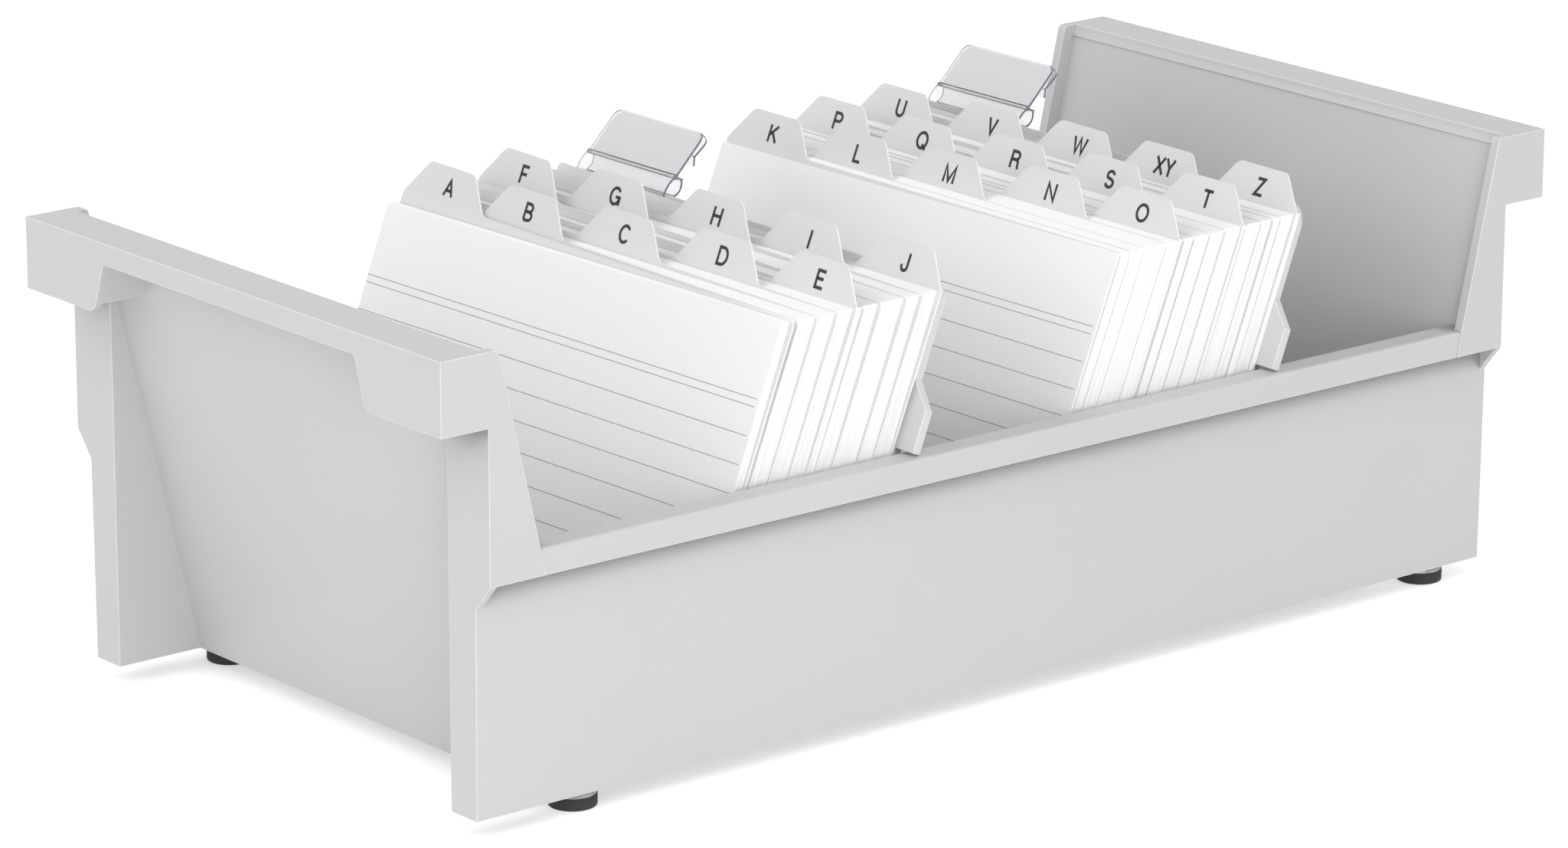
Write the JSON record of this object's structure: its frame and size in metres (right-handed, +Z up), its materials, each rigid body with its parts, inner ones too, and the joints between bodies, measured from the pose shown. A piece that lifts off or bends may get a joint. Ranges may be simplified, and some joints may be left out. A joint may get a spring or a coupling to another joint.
{
  "type": "index card drawer",
  "caption": "open desk trough for A6 cards with leaning ends, lettered guides, packs of cards and sliding support plates with clear label riders",
  "frame": {"origin": "middle of the trough on the surface it stands on, under the rubber feet", "axes": "+X is the long side seen in the picture, +Y runs from the user's end to the rear end, +Z is up"},
  "size_m": [0.1658, 0.3462, 0.1213],
  "materials": {
    "moulded_grey": "fine satin mould texture, injection moulded",
    "plate_grey": "satin, injection moulded",
    "foot_rubber": "matte, soft",
    "clear_plastic": "clear extruded plastic, glossy",
    "label_card": "plain slip of card, matte",
    "guide_grey": "matte guide sheet with printed letter",
    "card_stock": "uncoated white card stock, matte"
  },
  "bodies": {
    "trough": {"trough": "moulded_grey", "feet": "foot_rubber"},
    "front_first": {"front_first_cards": "card_stock"},
    "group_a": {"guide_a": "guide_grey", "cards_a": "card_stock"},
    "group_b": {"guide_b": "guide_grey", "cards_b": "card_stock"},
    "group_c": {"guide_c": "guide_grey", "cards_c": "card_stock"},
    "group_d": {"guide_d": "guide_grey", "cards_d": "card_stock"},
    "group_e": {"guide_e": "guide_grey", "cards_e": "card_stock"},
    "group_f": {"guide_f": "guide_grey", "cards_f": "card_stock"},
    "group_g": {"guide_g": "guide_grey", "cards_g": "card_stock"},
    "group_h": {"guide_h": "guide_grey", "cards_h": "card_stock"},
    "group_i": {"guide_i": "guide_grey", "cards_i": "card_stock"},
    "group_j": {"guide_j": "guide_grey", "cards_j": "card_stock"},
    "rear_first": {"rear_first_card": "card_stock"},
    "group_k": {"guide_k": "guide_grey", "cards_k": "card_stock"},
    "group_l": {"guide_l": "guide_grey", "cards_l": "card_stock"},
    "group_m": {"guide_m": "guide_grey", "cards_m": "card_stock"},
    "group_n": {"guide_n": "guide_grey", "cards_n": "card_stock"},
    "group_o": {"guide_o": "guide_grey", "cards_o": "card_stock"},
    "group_p": {"guide_p": "guide_grey", "cards_p": "card_stock"},
    "group_q": {"guide_q": "guide_grey", "cards_q": "card_stock"},
    "group_r": {"guide_r": "guide_grey", "cards_r": "card_stock"},
    "group_s": {"guide_s": "guide_grey", "cards_s": "card_stock"},
    "group_t": {"guide_t": "guide_grey", "cards_t": "card_stock"},
    "group_u": {"guide_u": "guide_grey", "cards_u": "card_stock"},
    "group_v": {"guide_v": "guide_grey", "cards_v": "card_stock"},
    "group_w": {"guide_w": "guide_grey", "cards_w": "card_stock"},
    "group_xy": {"guide_xy": "guide_grey", "cards_xy": "card_stock"},
    "group_z": {"guide_z": "guide_grey", "cards_z": "card_stock"},
    "front_support": {"front_support": "plate_grey"},
    "front_rider": {"front_rider": "clear_plastic"},
    "front_label": {"front_label": "label_card"},
    "rear_support": {"rear_support": "plate_grey"},
    "rear_rider": {"rear_rider": "clear_plastic"},
    "rear_label": {"rear_label": "label_card"}
  },
  "joints": [
    {"name": "front_first_flip", "type": "hinge", "parent": "trough", "child": "front_first", "pos_m": [0.074, -0.1059, 0.0079], "axis": [0.9995, 0.0314, 0], "range_deg": [0, 46]},
    {"name": "flip_a", "type": "hinge", "parent": "trough", "child": "group_a", "pos_m": [0.074, -0.10339, 0.0079], "axis": [0.9996, 0.0286, 0], "range_deg": [0, 42.32]},
    {"name": "flip_b", "type": "hinge", "parent": "trough", "child": "group_b", "pos_m": [0.074, -0.10207, 0.0079], "axis": [0.9997, 0.0257, 0], "range_deg": [0, 38.14]},
    {"name": "flip_c", "type": "hinge", "parent": "trough", "child": "group_c", "pos_m": [0.074, -0.09625, 0.0079], "axis": [0.9997, 0.0228, 0], "range_deg": [0, 33.96]},
    {"name": "flip_d", "type": "hinge", "parent": "trough", "child": "group_d", "pos_m": [0.074, -0.09022, 0.0079], "axis": [0.9998, 0.02, 0], "range_deg": [0, 29.77]},
    {"name": "flip_e", "type": "hinge", "parent": "trough", "child": "group_e", "pos_m": [0.074, -0.0849, 0.0079], "axis": [0.9999, 0.0171, 0], "range_deg": [0, 25.59]},
    {"name": "flip_f", "type": "hinge", "parent": "trough", "child": "group_f", "pos_m": [0.074, -0.08238, 0.0079], "axis": [0.9999, 0.0143, 0], "range_deg": [0, 21.41]},
    {"name": "flip_g", "type": "hinge", "parent": "trough", "child": "group_g", "pos_m": [0.074, -0.07717, 0.0079], "axis": [0.9999, 0.0114, 0], "range_deg": [0, 17.23]},
    {"name": "flip_h", "type": "hinge", "parent": "trough", "child": "group_h", "pos_m": [0.074, -0.06944, 0.0079], "axis": [1, 0.0086, 0], "range_deg": [0, 13.04]},
    {"name": "flip_i", "type": "hinge", "parent": "trough", "child": "group_i", "pos_m": [0.074, -0.06462, 0.0079], "axis": [1, 0.0057, 0], "range_deg": [0, 8.86]},
    {"name": "flip_j", "type": "hinge", "parent": "trough", "child": "group_j", "pos_m": [0.074, -0.0593, 0.0079], "axis": [1, 0.0029, 0], "range_deg": [0, 4.68]},
    {"name": "rear_first_flip", "type": "hinge", "parent": "trough", "child": "rear_first", "pos_m": [0.074, -0.00286, 0.0079], "axis": [0.9998, 0.0209, 0], "range_deg": [0, 22]},
    {"name": "flip_k", "type": "hinge", "parent": "trough", "child": "group_k", "pos_m": [0.074, -0.00212, 0.0079], "axis": [0.9998, 0.0196, 0], "range_deg": [0, 21.12]},
    {"name": "flip_l", "type": "hinge", "parent": "trough", "child": "group_l", "pos_m": [0.074, 0.00107, 0.0079], "axis": [0.9998, 0.0183, 0], "range_deg": [0, 19.75]},
    {"name": "flip_m", "type": "hinge", "parent": "trough", "child": "group_m", "pos_m": [0.074, 0.00567, 0.0079], "axis": [0.9999, 0.017, 0], "range_deg": [0, 18.38]},
    {"name": "flip_n", "type": "hinge", "parent": "trough", "child": "group_n", "pos_m": [0.074, 0.01302, 0.0079], "axis": [0.9999, 0.0157, 0], "range_deg": [0, 17]},
    {"name": "flip_o", "type": "hinge", "parent": "trough", "child": "group_o", "pos_m": [0.074, 0.01681, 0.0079], "axis": [0.9999, 0.0144, 0], "range_deg": [0, 15.62]},
    {"name": "flip_p", "type": "hinge", "parent": "trough", "child": "group_p", "pos_m": [0.074, 0.0189, 0.0079], "axis": [0.9999, 0.0131, 0], "range_deg": [0, 14.25]},
    {"name": "flip_q", "type": "hinge", "parent": "trough", "child": "group_q", "pos_m": [0.074, 0.02235, 0.0079], "axis": [0.9999, 0.0118, 0], "range_deg": [0, 12.88]},
    {"name": "flip_r", "type": "hinge", "parent": "trough", "child": "group_r", "pos_m": [0.074, 0.02764, 0.0079], "axis": [0.9999, 0.0105, 0], "range_deg": [0, 11.5]},
    {"name": "flip_s", "type": "hinge", "parent": "trough", "child": "group_s", "pos_m": [0.074, 0.03283, 0.0079], "axis": [1, 0.0092, 0], "range_deg": [0, 10.12]},
    {"name": "flip_t", "type": "hinge", "parent": "trough", "child": "group_t", "pos_m": [0.074, 0.03832, 0.0079], "axis": [1, 0.0079, 0], "range_deg": [0, 8.75]},
    {"name": "flip_u", "type": "hinge", "parent": "trough", "child": "group_u", "pos_m": [0.074, 0.03972, 0.0079], "axis": [1, 0.0065, 0], "range_deg": [0, 7.38]},
    {"name": "flip_v", "type": "hinge", "parent": "trough", "child": "group_v", "pos_m": [0.074, 0.04516, 0.0079], "axis": [1, 0.0052, 0], "range_deg": [0, 6]},
    {"name": "flip_w", "type": "hinge", "parent": "trough", "child": "group_w", "pos_m": [0.074, 0.0492, 0.0079], "axis": [1, 0.0039, 0], "range_deg": [0, 4.62]},
    {"name": "flip_xy", "type": "hinge", "parent": "trough", "child": "group_xy", "pos_m": [0.074, 0.05179, 0.0079], "axis": [1, 0.0026, 0], "range_deg": [0, 3.25]},
    {"name": "flip_z", "type": "hinge", "parent": "trough", "child": "group_z", "pos_m": [0.074, 0.05673, 0.0079], "axis": [1, 0.0013, 0], "range_deg": [0, 1.88]},
    {"name": "front_support_slide", "type": "slide", "parent": "trough", "child": "front_support", "axis": [0, -1, 0], "range_m": [-0.034, 0]},
    {"name": "front_rider_slide", "type": "slide", "parent": "front_support", "child": "front_rider", "axis": [1, 0, 0], "range_m": [-0.005, 0.098]},
    {"name": "front_label_slide", "type": "slide", "parent": "front_rider", "child": "front_label", "axis": [1, 0, 0], "range_m": [0, 0.029]},
    {"name": "rear_support_slide", "type": "slide", "parent": "trough", "child": "rear_support", "axis": [0, -1, 0], "range_m": [-0.05, 0]},
    {"name": "rear_rider_slide", "type": "slide", "parent": "rear_support", "child": "rear_rider", "axis": [1, 0, 0], "range_m": [-0.005, 0.098]},
    {"name": "rear_label_slide", "type": "slide", "parent": "rear_rider", "child": "rear_label", "axis": [1, 0, 0], "range_m": [0, 0.029]}
  ],
  "couplings": [
    {"joint": "flip_a", "follows": "front_first_flip", "ratio": 0.9091},
    {"joint": "flip_b", "follows": "front_first_flip", "ratio": 0.8182},
    {"joint": "flip_c", "follows": "front_first_flip", "ratio": 0.7273},
    {"joint": "flip_d", "follows": "front_first_flip", "ratio": 0.6364},
    {"joint": "flip_e", "follows": "front_first_flip", "ratio": 0.5455},
    {"joint": "flip_f", "follows": "front_first_flip", "ratio": 0.4545},
    {"joint": "flip_g", "follows": "front_first_flip", "ratio": 0.3636},
    {"joint": "flip_h", "follows": "front_first_flip", "ratio": 0.2727},
    {"joint": "flip_i", "follows": "front_first_flip", "ratio": 0.1818},
    {"joint": "flip_j", "follows": "front_first_flip", "ratio": 0.0909},
    {"joint": "flip_k", "follows": "rear_first_flip", "ratio": 0.9375},
    {"joint": "flip_l", "follows": "rear_first_flip", "ratio": 0.875},
    {"joint": "flip_m", "follows": "rear_first_flip", "ratio": 0.8125},
    {"joint": "flip_n", "follows": "rear_first_flip", "ratio": 0.75},
    {"joint": "flip_o", "follows": "rear_first_flip", "ratio": 0.6875},
    {"joint": "flip_p", "follows": "rear_first_flip", "ratio": 0.625},
    {"joint": "flip_q", "follows": "rear_first_flip", "ratio": 0.5625},
    {"joint": "flip_r", "follows": "rear_first_flip", "ratio": 0.5},
    {"joint": "flip_s", "follows": "rear_first_flip", "ratio": 0.4375},
    {"joint": "flip_t", "follows": "rear_first_flip", "ratio": 0.375},
    {"joint": "flip_u", "follows": "rear_first_flip", "ratio": 0.3125},
    {"joint": "flip_v", "follows": "rear_first_flip", "ratio": 0.25},
    {"joint": "flip_w", "follows": "rear_first_flip", "ratio": 0.1875},
    {"joint": "flip_xy", "follows": "rear_first_flip", "ratio": 0.125},
    {"joint": "flip_z", "follows": "rear_first_flip", "ratio": 0.0625}
  ]
}
